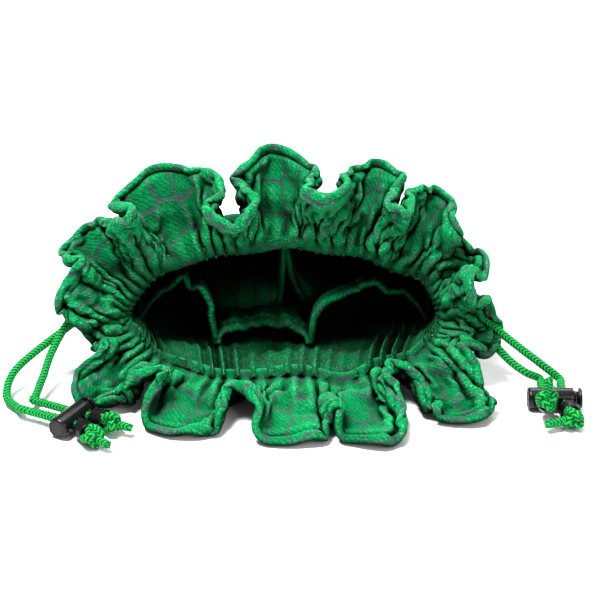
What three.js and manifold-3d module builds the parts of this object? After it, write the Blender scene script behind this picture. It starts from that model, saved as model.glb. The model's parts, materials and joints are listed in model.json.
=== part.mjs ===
// A drawstring dice bag: a round-bottomed cloth pouch with a ring of inner pockets, a ruffled mouth and
// two drawcords that leave at opposite sides, each ending in a cord lock, two bell beads and two knots.
// The bag lies on its side with its mouth open. Millimetres, +Z up, mouth towards -Y, origin on the table
// under the middle of the bag. "Round" positions on the bag are an angle phi: 0 at +X, 90 degrees at the top.
import * as THREE from "three";
import { mergeVertices } from "three/addons/utils/BufferGeometryUtils.js";
import Module from "manifold-3d";

const wasm = await Module();
wasm.setup();

// ---- driving dimensions --------------------------------------------------------------------------------

const CLOTH = 1.2; // one layer of the plush cloth
const GAP = 0.4; // clearance kept between neighbouring pieces
const CORD_R = 1.6;
const BAG_FLAT = 0.9; // how far round its oval section the wall runs before it lies flat on the table
const COLLAR_REACH = 37; // the ruffle's length above the drawcord channel
const COLLAR_THICK = 3;
const COLLAR_ROOT = 5.2; // clearance between the channel's end and the ruffle
const POCKET_TOP = 0.68; // share of the wall from base to neck that the pockets cover
const POCKET_BOTTOM = 0.1;
const POCKET_BULGE = 9;

// The wall's oval sections from the base seam to the neck, evenly spaced along the wall:
// centre y, half width, half height, backward tilt of the section in degrees.
const SECTIONS = [
  { y: 60, a: 58, b: 13.5, tilt: 0 },
  { y: 44, a: 71, b: 18, tilt: 4 },
  { y: 22, a: 75, b: 23, tilt: 12 },
  { y: 0, a: 70, b: 26, tilt: 27 },
  { y: -19, a: 64, b: 29.5, tilt: 42 },
];
const BASE_BULGE = 9;
const BASE_GAP = 1.4; // the wall's slanted edge ends this far before the base
const CHANNEL_START = 0.8; // the drawcord channel fills the wall from here to the neck
const CHANNEL_HALF = CORD_R + GAP;
const CORD_TRACK = { left: 0.87, right: 0.945 }; // where each cord runs round in the channel
const EXIT_R = 7; // radius of the gap in the outer cloth where a cord leaves
const EXIT_PATH = [
  [11, 0],
  [6, 1.2],
  [3.6, 4],
  [2.8, 7],
]; // degrees from the side seam, distance outside the wall's middle surface

// The ruffle's outward folds, in degrees round the mouth.
const FOLDS = [-170, -150, -121, -86, -65, -35, -6, 21, 43, 63, 93, 128, 158, 176];
const FOLD_SHARE = 0.26; // fold height as a share of the spacing of folds at the hem
const HEM_RADIUS = 80; // mean radius used to turn a fold's angle into its spacing

// Seams between the seven pockets, in degrees round the wall.
const POCKET_SEAMS = [-150, -113, -82, -32, 24, 90, 156];

// Cord locks: a barrel with a sprung plunger, crossed by the two ends of one drawcord.
const LOCK_Z = 4.4;
const BARREL_R = 4.2;
const BARREL_LENGTH = 17.5;
const BARREL_WALL = 1.1;
const PLUNGER_R = 2.9;
const PLUNGER_TRAVEL = 1.6;
const PLUNGER_HEAD = 1.3;
const CORD_PITCH = 7.6;
const CORD_SHIFT = 1.6; // the cord holes sit this far from the barrel's middle, towards the plunger's head
const CORD_HOLE_R = 1.95;
const SPRING_R = 2.1;
const SPRING_WIRE_R = 0.25;
const SPRING_TURNS = 2;
const BEAD_R = 4.1;
const BEAD_LENGTH = 6.8;
const BEAD_GAP = 1; // between the lock and a bead
const BEND_AT = BARREL_R + 0.5; // the cord ends spread out from here
const KNOT_R = 4.4;

// Each side: lock centre, direction of the cord ends in degrees from +X, length of straight cord behind the
// lock, yaw and pitch of the two ends beyond it, each with the yaw, pitch and length of the cord's stub from
// its knot's middle, the way points of the tails between bag and lock, and the angle of the side seam where
// the cord leaves the wall.
const SIDES = {
  left: {
    centre: [-79.7, -67.1],
    heading: -28,
    straight: 17,
    ends: [
      { yaw: -26, pitch: 0, stub: { yaw: 22, pitch: -9, length: 7 } },
      { yaw: -6, pitch: 4, stub: { yaw: 17, pitch: -12, length: 7 } },
    ],
    tails: [
      [[-89, -22, 17], [-104, -36, 9], [-106.5, -47, 3.4], [-101, -55, 2.4]],
      [[-83, -20, 24], [-90, -30, 15], [-93, -41, 8.5], [-95, -49, 4.6]],
    ],
    seam: 180,
  },
  right: {
    centre: [101.5, -51],
    heading: -90,
    straight: 12,
    ends: [
      { yaw: -6, pitch: 38, stub: { yaw: 0, pitch: 45, length: 9 } },
      { yaw: 6, pitch: 0, stub: { yaw: -81, pitch: -6, length: 10 } },
    ],
    tails: [
      [[85.5, -31, 12.5], [93, -36, 8]],
      [[88, -27, 17], [98.5, -32.5, 10.5]],
    ],
    seam: 0,
  },
};

// ---- materials -----------------------------------------------------------------------------------------

const plush = new THREE.MeshStandardMaterial({ color: 0x0f9a4c, roughness: 0.95, metalness: 0 });
const plushInside = new THREE.MeshStandardMaterial({ color: 0x0c7f3f, roughness: 0.95, metalness: 0 });
const braid = new THREE.MeshStandardMaterial({ color: 0x12b33e, roughness: 0.7, metalness: 0 });
const blackPlastic = new THREE.MeshStandardMaterial({ color: 0x141416, roughness: 0.3, metalness: 0 });
const springSteel = new THREE.MeshStandardMaterial({ color: 0xb8bcc2, roughness: 0.3, metalness: 1 });

// ---- small helpers -------------------------------------------------------------------------------------

const rad = THREE.MathUtils.degToRad;
const clamp = THREE.MathUtils.clamp;
const smooth = (x, lo, hi) => THREE.MathUtils.smoothstep(x, lo, hi);
const bag = new THREE.Group();

function add(name, geometry, material) {
  const mesh = new THREE.Mesh(geometry, material);
  mesh.name = name;
  bag.add(mesh);
  return mesh;
}

// Position-only geometry with shared vertices, as the solid library needs it.
function merged(geometry) {
  const bare = new THREE.BufferGeometry();
  bare.setAttribute("position", geometry.getAttribute("position"));
  if (geometry.index) bare.setIndex(geometry.index);
  return mergeVertices(bare, 1e-4);
}

function toSolid(geometry) {
  const shared = merged(geometry);
  return new wasm.Manifold(
    new wasm.Mesh({
      numProp: 3,
      vertProperties: shared.getAttribute("position").array,
      triVerts: new Uint32Array(shared.index.array),
    }),
  );
}

function fromSolid(solid) {
  const mesh = solid.getMesh();
  const geometry = new THREE.BufferGeometry();
  geometry.setAttribute("position", new THREE.BufferAttribute(mesh.vertProperties, 3));
  geometry.setIndex(new THREE.BufferAttribute(mesh.triVerts, 1));
  return geometry;
}

const cut = (body, ...tools) =>
  fromSolid(tools.reduce((left, tool) => left.subtract(toSolid(tool)), toSolid(body)));
const join = (...pieces) =>
  fromSolid(pieces.slice(1).reduce((sum, piece) => sum.add(toSolid(piece)), toSolid(pieces[0])));

// A closed solid between two faces given as functions of (i, j) on a grid of nu by nv cells.
// With wrap, column nu is column 0 again and the sheet is a closed band.
function sheetSolid(nu, nv, wrap, faceA, faceB) {
  const columns = wrap ? nu : nu + 1;
  const positions = [];
  const index = [];
  for (const face of [faceA, faceB])
    for (let j = 0; j <= nv; j++)
      for (let i = 0; i < columns; i++) positions.push(...face(i / nu, j / nv).toArray());
  const at = (side, i, j) => (side * (nv + 1) + j) * columns + (i % columns);
  const quad = (a, b, c, d) => index.push(a, b, c, a, c, d);
  for (let j = 0; j < nv; j++)
    for (let i = 0; i < nu; i++) {
      quad(at(0, i, j), at(0, i + 1, j), at(0, i + 1, j + 1), at(0, i, j + 1));
      quad(at(1, i, j), at(1, i, j + 1), at(1, i + 1, j + 1), at(1, i + 1, j));
    }
  for (let i = 0; i < nu; i++) {
    quad(at(0, i, 0), at(1, i, 0), at(1, i + 1, 0), at(0, i + 1, 0));
    quad(at(0, i, nv), at(0, i + 1, nv), at(1, i + 1, nv), at(1, i, nv));
  }
  for (let j = 0; j < nv && !wrap; j++) {
    quad(at(0, 0, j), at(0, 0, j + 1), at(1, 0, j + 1), at(1, 0, j));
    quad(at(0, nu, j), at(1, nu, j), at(1, nu, j + 1), at(0, nu, j + 1));
  }
  const geometry = new THREE.BufferGeometry();
  geometry.setAttribute("position", new THREE.Float32BufferAttribute(positions, 3));
  geometry.setIndex(signedVolume(positions, index) < 0 ? index.reverse() : index);
  return geometry;
}

function signedVolume(positions, index) {
  const corner = (k) => new THREE.Vector3().fromArray(positions, index[k] * 3);
  let volume = 0;
  for (let k = 0; k < index.length; k += 3)
    volume += corner(k).dot(corner(k + 1).cross(corner(k + 2)));
  return volume / 6;
}

// A round rod of the given radius along a smooth curve through the points.
function rod(points, radius, steps, sides) {
  const circle = new THREE.Shape(
    Array.from({ length: sides }, (_, k) => {
      const angle = (k / sides) * 2 * Math.PI;
      return new THREE.Vector2(Math.cos(angle) * radius, Math.sin(angle) * radius);
    }),
  );
  const path = new THREE.CatmullRomCurve3(points, false, "centripetal");
  return new THREE.ExtrudeGeometry(circle, { steps, extrudePath: path, bevelEnabled: false });
}

const lathe = (profile, sides) =>
  new THREE.LatheGeometry(profile.map(([r, y]) => new THREE.Vector2(r, y)), sides);

// ---- the bag's surface ---------------------------------------------------------------------------------

function section(t) {
  const at = clamp(t, 0, 1) * (SECTIONS.length - 1);
  const k = Math.min(Math.floor(at), SECTIONS.length - 2);
  const f = at - k;
  const pick = (n) => SECTIONS[clamp(n, 0, SECTIONS.length - 1)];
  const blend = (key) => {
    const [p0, p1, p2, p3] = [pick(k - 1)[key], pick(k)[key], pick(k + 1)[key], pick(k + 2)[key]];
    const slope1 = (p2 - p0) / 2;
    const slope2 = (p3 - p1) / 2;
    const square = 3 * (p2 - p1) - 2 * slope1 - slope2;
    const cube = 2 * (p1 - p2) + slope1 + slope2;
    return p1 + slope1 * f + square * f ** 2 + cube * f ** 3;
  };
  return { y: blend("y"), a: blend("a"), b: blend("b"), tilt: rad(blend("tilt")) };
}

const channel = (t) => smooth(t, CHANNEL_START - 0.06, CHANNEL_START);
// Distance of the outer cloth's inner face from the wall's middle surface; the lining mirrors it.
const layerStart = (t) => GAP / 2 + channel(t) * CHANNEL_HALF;

// A point of the wall's middle surface at share t from base to neck and angle phi.
function middlePoint(t, phi) {
  const s = section(t);
  const rise = s.b * Math.max(Math.sin(phi), -BAG_FLAT);
  const lift = GAP / 2 + CLOTH + channel(t) * CHANNEL_HALF;
  return new THREE.Vector3(
    s.a * Math.cos(phi),
    s.y + rise * Math.sin(s.tilt),
    lift + Math.cos(s.tilt) * (s.b * BAG_FLAT + rise),
  );
}

// Directions at a point of the wall: out of the cloth, and along the wall towards the neck.
function wallFrame(t, phi) {
  const step = 0.02;
  const round = middlePoint(t, phi + step).sub(middlePoint(t, phi - step));
  const along = middlePoint(Math.min(t + step, 1), phi).sub(middlePoint(Math.max(t - step, 0), phi));
  return { out: round.cross(along).normalize(), along: along.normalize() };
}

const wallPoint = (t, phi, d) => middlePoint(t, phi).addScaledVector(wallFrame(t, phi).out, d);

// One cloth layer of the wall between two angles: side +1 is the outer cloth, -1 the lining.
function wallLayer(side, phiFrom, phiTo, columns) {
  const face = (extra) => (u, v) => {
    const phi = rad(phiFrom + (phiTo - phiFrom) * u);
    return wallPoint(v, phi, side * (layerStart(v) + extra));
  };
  return sheetSolid(columns, 8, false, face(CLOTH), face(0));
}

// The round base's layers, from the square (u, v) mapped onto the disc: beyond the wall by d and bulging.
function basePoint(u, v, d) {
  const [p, q] = [2 * u - 1, 2 * v - 1];
  const [x, z] = [p * Math.sqrt(1 - (q * q) / 2), q * Math.sqrt(1 - (p * p) / 2)];
  const share = Math.hypot(x, z);
  const rim = middlePoint(0, Math.atan2(z, x));
  const low = middlePoint(0, -Math.PI / 2).z;
  const centre = new THREE.Vector3(0, rim.y, (middlePoint(0, Math.PI / 2).z + low) / 2);
  return centre.lerp(rim, share).add(new THREE.Vector3(0, d + BASE_BULGE * (1 - share * share), 0));
}

function baseLayer(from) {
  const face = (d) => (u, v) => basePoint(u, v, d);
  return sheetSolid(10, 6, false, face(from + CLOTH), face(from));
}

// ---- the ruffled collar --------------------------------------------------------------------------------

// Fold phase (0 on an outward fold, pi between two) and fold spacing at angle phi, in degrees.
function foldAt(phi) {
  const turn = THREE.MathUtils.euclideanModulo(phi - FOLDS[0], 360) + FOLDS[0];
  const stops = [...FOLDS, FOLDS[0] + 360];
  const k = stops.findIndex((stop, n) => n > 0 && turn <= stop) - 1;
  const span = stops[k + 1] - stops[k];
  return { phase: (2 * Math.PI * (turn - stops[k])) / span, spacing: rad(span) * HEM_RADIUS };
}

// Frame of the mouth at angle phi: the neck point, the way the collar flares and the way its folds stand.
function collarFrame(phi) {
  const s = section(1);
  const across = new THREE.Vector3(0, Math.sin(s.tilt), Math.cos(s.tilt));
  const forward = new THREE.Vector3(0, -Math.cos(s.tilt), Math.sin(s.tilt));
  const outward = new THREE.Vector3(s.b * Math.cos(phi), 0, 0)
    .addScaledVector(across, s.a * Math.sin(phi))
    .normalize();
  const flare = rad(46 - 10 * Math.max(0, Math.sin(phi)));
  const along = outward.clone().multiplyScalar(Math.cos(flare)).addScaledVector(forward, Math.sin(flare));
  const fold = outward.clone().multiplyScalar(-Math.sin(flare)).addScaledVector(forward, Math.cos(flare));
  const neck = middlePoint(1, phi).addScaledVector(wallFrame(1, phi).along, COLLAR_ROOT);
  return { neck, along, fold };
}

function collarPoint(phi, share) {
  const { phase, spacing } = foldAt(THREE.MathUtils.radToDeg(phi));
  const { neck, along, fold } = collarFrame(phi);
  const height = spacing * FOLD_SHARE * share ** 1.2;
  // The lower folds rise from the table instead of dipping into it.
  const low = smooth(-Math.sin(phi), 0.1, 0.8);
  const reach = COLLAR_REACH * share * (1 - 0.12 * (1 - Math.cos(phase)) * share);
  const point = neck.addScaledVector(along, reach).addScaledVector(
    fold,
    height * (low - Math.cos(phase)) * 0.8,
  );
  point.z = Math.max(point.z, COLLAR_THICK / 2 + 0.2);
  return point;
}

function collarFace(phi, share, offset) {
  const step = 0.01;
  const round = collarPoint(phi + step, share).sub(collarPoint(phi - step, share));
  const out = collarPoint(phi, Math.min(share + step, 1)).sub(collarPoint(phi, Math.max(share - step, 0)));
  const normal = out.cross(round).normalize();
  const point = collarPoint(phi, share).addScaledVector(normal, offset);
  point.z = Math.max(point.z, offset > 0 ? COLLAR_THICK : 0);
  return point;
}

function collarHalf(phiFrom, phiTo) {
  const face = (offset) => (u, v) => collarFace(rad(phiFrom + (phiTo - phiFrom) * u), v, offset);
  return sheetSolid(64, 3, false, face(COLLAR_THICK / 2), face(-COLLAR_THICK / 2));
}

// ---- pockets -------------------------------------------------------------------------------------------

// A pocket between two seams. There is little room to bulge at the bag's narrow sides.
function pocket(phiFrom, phiTo) {
  const start = GAP / 2 + CLOTH + GAP;
  const room = smooth(Math.abs(Math.sin(rad((phiFrom + phiTo) / 2))), -0.4, 0.8);
  const face = (extra) => (u, v) => {
    const t = POCKET_BOTTOM + (POCKET_TOP - POCKET_BOTTOM) * v;
    const fullness = Math.sin(Math.PI * u) ** 0.8 * smooth(v, -0.1, 1) * room;
    const phi = rad(phiFrom + 0.8 + (phiTo - phiFrom - 1.6) * u);
    return wallPoint(t, phi, -(start + POCKET_BULGE * fullness + extra));
  };
  return sheetSolid(9, 4, false, face(0), face(CLOTH));
}

// ---- cords, locks and beads ----------------------------------------------------------------------------

// Where a cord leaves the wall: side +1 is anticlockwise of its exit. The last stretch points straight out.
function cordExit(side, turn) {
  const at = ([turned, d]) => wallPoint(CORD_TRACK[side], rad(SIDES[side].seam + turn * turned), d);
  const points = EXIT_PATH.map(at);
  const [inner, outer] = points.slice(-2);
  return { points, outer, way: outer.clone().sub(inner).normalize() };
}

// The cord inside the channel, from one side of its exit all the way round to the other.
function channelCord(side) {
  const from = SIDES[side].seam + 18;
  const inside = Array.from({ length: 37 }, (_, k) => middlePoint(CORD_TRACK[side], rad(from + 9 * k)));
  const points = [...cordExit(side, 1).points.reverse(), ...inside, ...cordExit(side, -1).points];
  return rod(points, CORD_R, 60, 6);
}

// Local frame of a lock: +X along the barrel towards the plunger's head, -Y the way the cord ends point.
function lockFrame(side) {
  const { centre, heading } = SIDES[side];
  const turn = new THREE.Matrix4().makeRotationZ(rad(heading + 90));
  return new THREE.Matrix4().makeTranslation(centre[0], centre[1], LOCK_Z).multiply(turn);
}

const alongX = (geometry) => geometry.rotateZ(-Math.PI / 2);
const cordX = (k) => CORD_SHIFT + (k === 0 ? -1 : 1) * (CORD_PITCH / 2);
const barrelEnd = BARREL_LENGTH / 2;

function barrel() {
  const c = 0.5;
  const body = alongX(
    lathe(
      [
        [0, -barrelEnd],
        [BARREL_R - c, -barrelEnd],
        [BARREL_R, -barrelEnd + c],
        [BARREL_R, barrelEnd - c / 2],
        [BARREL_R - c / 2, barrelEnd],
        [0, barrelEnd],
      ],
      16,
    ),
  );
  const depth = BARREL_LENGTH - BARREL_WALL;
  const bore = new THREE.CylinderGeometry(BARREL_R - BARREL_WALL, BARREL_R - BARREL_WALL, depth, 14);
  const holes = [0, 1].map((k) =>
    new THREE.CylinderGeometry(CORD_HOLE_R, CORD_HOLE_R, 4 * BARREL_R, 12).translate(cordX(k), 0, 0),
  );
  return cut(body, alongX(bore).translate(BARREL_WALL / 2 + 0.01, 0, 0), ...holes);
}

// The plunger at rest: its slot lets both cords through over the whole travel.
const slotFrom = cordX(0) - CORD_HOLE_R;
const slotTo = cordX(1) + CORD_HOLE_R + PLUNGER_TRAVEL;
const plungerFrom = slotFrom - 0.7;

function plunger() {
  const headFrom = barrelEnd + PLUNGER_TRAVEL + 0.2;
  const stem = alongX(
    lathe(
      [
        [0, plungerFrom],
        [PLUNGER_R, plungerFrom],
        [PLUNGER_R, headFrom - PLUNGER_TRAVEL / 2],
        [PLUNGER_R * 0.85, headFrom],
        [BARREL_R - 0.3, headFrom],
        [BARREL_R - 0.1, headFrom + PLUNGER_HEAD - 0.4],
        [BARREL_R - 0.6, headFrom + PLUNGER_HEAD],
        [0, headFrom + PLUNGER_HEAD],
      ],
      14,
    ),
  );
  const slot = new THREE.BoxGeometry(slotTo - slotFrom, 4 * BARREL_R, 2 * CORD_HOLE_R);
  return cut(stem, slot.translate((slotFrom + slotTo) / 2, 0, 0));
}

function spring() {
  const from = -barrelEnd + BARREL_WALL + SPRING_WIRE_R + 0.1;
  const to = plungerFrom - SPRING_WIRE_R - 0.1;
  const points = Array.from({ length: SPRING_TURNS * 10 + 1 }, (_, k) => {
    const angle = (k / 10) * 2 * Math.PI;
    const x = from + ((to - from) * k) / (SPRING_TURNS * 10);
    return new THREE.Vector3(x, Math.cos(angle) * SPRING_R, Math.sin(angle) * SPRING_R);
  });
  return rod(points, SPRING_WIRE_R, SPRING_TURNS * 12, 5);
}

// Places a piece modelled along +Y on the spread-out end of cord k, in the lock's frame.
function onCordEnd(geometry, side, k) {
  const { yaw, pitch } = SIDES[side].ends[k];
  return geometry.rotateX(rad(pitch)).rotateZ(Math.PI + rad(yaw)).translate(cordX(k), -BEND_AT, 0);
}

const beadFrom = BEAD_GAP + 0.4;
const beadTo = beadFrom + BEAD_LENGTH;

// A bell bead: domed towards the lock, open towards its knot.
function bead() {
  const profile = [
    [CORD_HOLE_R, beadFrom],
    [BEAD_R * 0.6, beadFrom],
    [BEAD_R * 0.76, beadFrom + 0.12 * BEAD_LENGTH],
    [BEAD_R * 0.84, beadFrom + 0.35 * BEAD_LENGTH],
    [BEAD_R, beadTo - 0.5],
    [BEAD_R - 0.3, beadTo],
    [BEAD_R - 0.9, beadTo],
    [BEAD_R - 1.2, beadTo - 1.8],
    [CORD_HOLE_R, beadTo - 3.2],
    [CORD_HOLE_R, beadFrom],
  ];
  return lathe(profile, 14);
}

// The straight cord through the lock and its spread-out end with the knot and the stub beyond it.
function cordEnd(side, k) {
  const { straight, ends } = SIDES[side];
  const { stub } = ends[k];
  const run = straight + BEND_AT;
  const middle = run / 2 - BEND_AT;
  const through = new THREE.CylinderGeometry(CORD_R, CORD_R, run, 10).translate(cordX(k), middle, 0);
  const joint = new THREE.SphereGeometry(CORD_R, 10, 6).translate(cordX(k), -BEND_AT, 0);
  const knotFrom = beadTo - 1.2;
  const knotTo = knotFrom + 1.75 * KNOT_R;
  const profile = [[0, 0], [CORD_R, 0]];
  const rows = 6;
  for (let n = 0; n <= rows; n++) {
    const share = n / rows;
    const radius = CORD_R + (KNOT_R - CORD_R) * Math.sin(Math.PI * share) ** 0.8;
    profile.push([radius, knotFrom + (knotTo - knotFrom) * share]);
  }
  profile.push([0, knotTo]);
  const loose = new THREE.CylinderGeometry(CORD_R, CORD_R, stub.length, 10)
    .translate(0, stub.length / 2, 0)
    .rotateX(rad(stub.pitch))
    .rotateZ(rad(stub.yaw))
    .translate(0, (knotFrom + knotTo) / 2, 0);
  return join(through, joint, onCordEnd(lathe(profile, 10), side, k), onCordEnd(loose, side, k));
}

function tail(side, k) {
  const { straight, tails } = SIDES[side];
  const exit = cordExit(side, (side === "left") === (k === 0) ? 1 : -1);
  const frame = lockFrame(side);
  const behind = (distance) => new THREE.Vector3(cordX(k), straight + distance, 0).applyMatrix4(frame);
  const first = exit.outer.clone().addScaledVector(exit.way, GAP);
  const second = exit.outer.clone().addScaledVector(exit.way, 2.5);
  const way = tails[k].map((point) => new THREE.Vector3(...point));
  return rod([first, second, ...way, behind(4), behind(GAP)], CORD_R, 20, 6);
}

// ---- assembly ------------------------------------------------------------------------------------------

const exits = Object.entries(SIDES).map(([side, { seam }]) => {
  const at = wallPoint(CORD_TRACK[side], rad(seam), 0);
  const hole = alongX(new THREE.CylinderGeometry(EXIT_R, EXIT_R, 26, 12));
  return hole.translate(at.x + Math.sign(at.x) * 13, at.y, at.z);
});

add("outer_back_panel", cut(wallLayer(1, 0.4, 179.6, 22), ...exits), plush);
add("outer_front_panel", cut(wallLayer(1, 180.4, 359.6, 22), ...exits), plush);
add("lining_back_panel", wallLayer(-1, 0.4, 179.6, 22), plushInside);
add("lining_front_panel", wallLayer(-1, 180.4, 359.6, 22), plushInside);
add("collar_back", collarHalf(0.4, 179.6), plush);
add("collar_front", collarHalf(180.4, 359.6), plush);
add("base_panel", baseLayer(BASE_GAP + CLOTH + GAP), plush);
add("base_lining", baseLayer(BASE_GAP), plushInside);

POCKET_SEAMS.forEach((from, n) => {
  const to = n + 1 < POCKET_SEAMS.length ? POCKET_SEAMS[n + 1] : POCKET_SEAMS[0] + 360;
  add(`pocket_${n + 1}`, pocket(from, to), plushInside);
});

for (const side of ["left", "right"]) {
  const frame = lockFrame(side);
  const placed = (geometry) => geometry.applyMatrix4(frame);
  add(`drawcord_${side}`, channelCord(side), braid);
  add(`lock_barrel_${side}`, placed(barrel()), blackPlastic);
  add(`lock_plunger_${side}`, placed(plunger()), blackPlastic);
  add(`lock_spring_${side}`, placed(spring()), springSteel);
  for (const k of [0, 1]) {
    add(`cord_tail_${side}_${k + 1}`, tail(side, k), braid);
    add(`cord_end_${side}_${k + 1}`, placed(cordEnd(side, k)), braid);
    add(`bell_bead_${side}_${k + 1}`, placed(onCordEnd(bead(), side, k)), blackPlastic);
  }
}

export default bag;
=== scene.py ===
"""A plush drawstring dice bag lying on its side, mouth open towards the camera, on a pale floor."""

import json
import math

import bmesh
import bpy
import numpy as np
from mathutils import Matrix, Vector


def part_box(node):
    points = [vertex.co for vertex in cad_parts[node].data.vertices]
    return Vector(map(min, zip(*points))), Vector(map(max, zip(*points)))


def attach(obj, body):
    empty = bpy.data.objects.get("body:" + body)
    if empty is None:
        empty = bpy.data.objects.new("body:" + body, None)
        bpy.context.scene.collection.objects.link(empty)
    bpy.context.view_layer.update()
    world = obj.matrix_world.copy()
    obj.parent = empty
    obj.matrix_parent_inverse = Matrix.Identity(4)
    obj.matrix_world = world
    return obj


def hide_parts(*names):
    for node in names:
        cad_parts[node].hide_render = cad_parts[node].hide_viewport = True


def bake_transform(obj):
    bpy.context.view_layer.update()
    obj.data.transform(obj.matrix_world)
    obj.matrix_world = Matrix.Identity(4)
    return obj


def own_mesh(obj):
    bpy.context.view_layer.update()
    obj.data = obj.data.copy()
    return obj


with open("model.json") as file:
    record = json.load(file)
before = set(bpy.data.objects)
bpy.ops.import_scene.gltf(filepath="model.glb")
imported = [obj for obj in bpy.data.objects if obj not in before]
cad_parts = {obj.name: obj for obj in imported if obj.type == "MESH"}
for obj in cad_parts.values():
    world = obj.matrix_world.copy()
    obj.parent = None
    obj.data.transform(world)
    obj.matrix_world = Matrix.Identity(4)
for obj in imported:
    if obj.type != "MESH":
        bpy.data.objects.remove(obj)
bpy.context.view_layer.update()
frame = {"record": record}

MM = 0.001
SIDES = ("left", "right")


def box_mm(node):
    low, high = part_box(node)
    return np.array(low) / MM, np.array(high) / MM


# ---- the bag's shape, in millimetres, worked out from the frame's panels ----

PANEL_LOW = np.minimum(box_mm("outer_back_panel")[0], box_mm("outer_front_panel")[0])
PANEL_HIGH = np.maximum(box_mm("outer_back_panel")[1], box_mm("outer_front_panel")[1])
PANEL_OUTSIDE = 1.6  # about how far the outer panels' outside is from the wall's middle surface
BASE_GAP = 1.4  # the base lining starts this far beyond the wall's end
HALF_WIDTH = (PANEL_HIGH[0] - PANEL_LOW[0]) / 2 - PANEL_OUTSIDE
BASE_Y = box_mm("base_lining")[0][1] - BASE_GAP
BAG_FLAT = 0.9  # the oval sections are cut flat at this share of their half height below their middle

# The wall's oval sections from base to neck: middle y as a share of the base's, half width and half height as
# shares of the bag's half width, backward tilt in degrees.
SECTIONS = np.array(
    [[1.0, 0.773, 0.18, 0], [0.733, 0.947, 0.24, 4], [0.367, 1.0, 0.307, 12], [0.0, 0.933, 0.347, 27],
     [-0.317, 0.84, 0.393, 42]]
) * [BASE_Y, HALF_WIDTH, HALF_WIDTH, 1]
CLOTH = 1.4
COLLAR_LENGTH = 38.0  # the ruffle from the drawcord channel to its hem
PLEATS = 66  # fine gathers round the mouth

# The ruffle's lobes, clockwise from the left cord: middle angle and half width in degrees round the mouth,
# flare in degrees (0 lies straight out, 90 stands straight forward) and reach from the gathers in mm, then
# the flare and reach of the tuck that follows.
LOBES = np.array(
    [
        (176, 8, 30, 31, 45, 32),
        (158, 8, 20, 34, 65, 38),
        (128, 14, 15, 38, 90, 36),
        (93, 9, 20, 38, 75, 38),
        (63, 6, 20, 38, 70, 35),
        (43, 5, 20, 36, 40, 30),
        (21, 8, 15, 27, 80, 32),
        (-6, 7, 15, 26, 50, 19),
        (-35, 10, 20, 42, 85, 22),
        (-65, 9, 45, 45, 65, 33),
        (-86, 10, 45, 43, 75, 31),
        (-121, 12, 40, 38, 75, 27),
        (-150, 10, 20, 34, 50, 18),
        (-170, 5, 0, 18, 30, 26),
    ],
    float,
)
SHOULDER = 0.7  # how far a lobe's hem stays out either side of its middle, as a share of its half width
OVERHANG = 0.16  # how far a deep fold's sides lean over its neck, as a share of its depth beyond DEEP_FOLD
DEEP_FOLD = 12  # the distance between two turning points of the hem from which a fold's sides lean
WALL_LENGTH = 95.0  # cloth from base seam to neck, for the print's scale
CHANNEL_FROM = 0.74  # the share of the wall where the drawcord channel starts to stand out
BASE_BULGE = 9.0
PRINT_CELL = 0.0105  # the printed net's cells, in metres
BRAID_PITCH = 1.4
BRAID_SLANT = 0.85  # how far a strand runs on across its column, in pitches
BRAID_COLUMNS = 6
# The pockets anticlockwise: the seam where each starts, in degrees round the wall, how far its hem bulges
# inwards in mm, and its skew.
POCKETS = (
    (-150, 21, 1.2),
    (-113, 5, 1.0),
    (-82, 21, 0.8),
    (-32, 9, 1.0),
    (24, 34, 2.2),
    (90, 36, 0.45),
    (156, 11, 1.0),
)
POCKET_TOP, POCKET_BOTTOM = 0.72, 0.1  # as shares of the wall from base to neck

CAMERA_TARGET = (0.006, -0.02, 0.031)
CAMERA_DISTANCE = 0.7
CAMERA_LIFT = 26.0
CAMERA_ANGLE = 19.0


# ---- numeric helpers ----


def smooth(x, lo, hi):
    s = np.clip((np.asarray(x, float) - lo) / (hi - lo), 0, 1)
    return s * s * (3 - 2 * s)


def ridge_at(x, middle, width):
    """A rounded ridge of height 1, for stitch lines and seams."""
    return np.exp(-(((x - middle) / width) ** 2))


def unit(v):
    return v / np.maximum(np.linalg.norm(v, axis=-1, keepdims=True), 1e-9)


def run_along(path):
    """Each point's distance along a path."""
    return np.concatenate([[0], np.cumsum(np.linalg.norm(np.diff(path[:, :3], axis=0), axis=1))])


def evenly(curve, count, endpoint=False):
    """count points evenly spaced along a finely drawn curve, and its length."""
    run = run_along(curve)
    at = np.linspace(0, run[-1], count, endpoint=endpoint)
    return np.column_stack([np.interp(at, run, column) for column in curve.T]), run[-1]


def smooth_curve(a, b, c, d, f):
    """Points at shares f between b and c on the smooth curve through a, b, c and d."""
    square, cube = 2 * a - 5 * b + 4 * c - d, 3 * b - a - 3 * c + d
    return 0.5 * (2 * b + (c - a) * f + square * f**2 + cube * f**3)


def between(start, leave, end, arrive, f):
    """Points at shares f of a curve from start to end that leaves and arrives in the given directions."""
    return (
        (2 * f**3 - 3 * f**2 + 1) * start
        + (f**3 - 2 * f**2 + f) * leave
        + (3 * f**2 - 2 * f**3) * end
        + (f**3 - f**2) * arrive
    )


def spline(points, count):
    """count points evenly spaced along a smooth curve through points, and its length."""
    p = np.asarray(points, float)
    p = np.vstack([2 * p[0] - p[1], p, 2 * p[-1] - p[-2]])
    f = np.linspace(0, 1, 24, endpoint=False)[:, None]
    fine = [smooth_curve(a, b, c, d, f) for a, b, c, d in zip(p[:-3], p[1:-2], p[2:-1], p[3:])]
    return evenly(np.vstack(fine + [p[-2:-1]]), count, True)


def wander(angle, seed, terms, lowest):
    """Smooth repeatable noise round a circle, about -1 to 1, from its lowest frequency up."""
    r = np.random.default_rng(seed)
    total = np.zeros_like(np.asarray(angle, float))
    for k in range(lowest, lowest + terms):
        total = total + r.normal() * np.sin(k * angle + r.uniform(0, 2 * np.pi)) / math.sqrt(terms)
    return total


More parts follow.
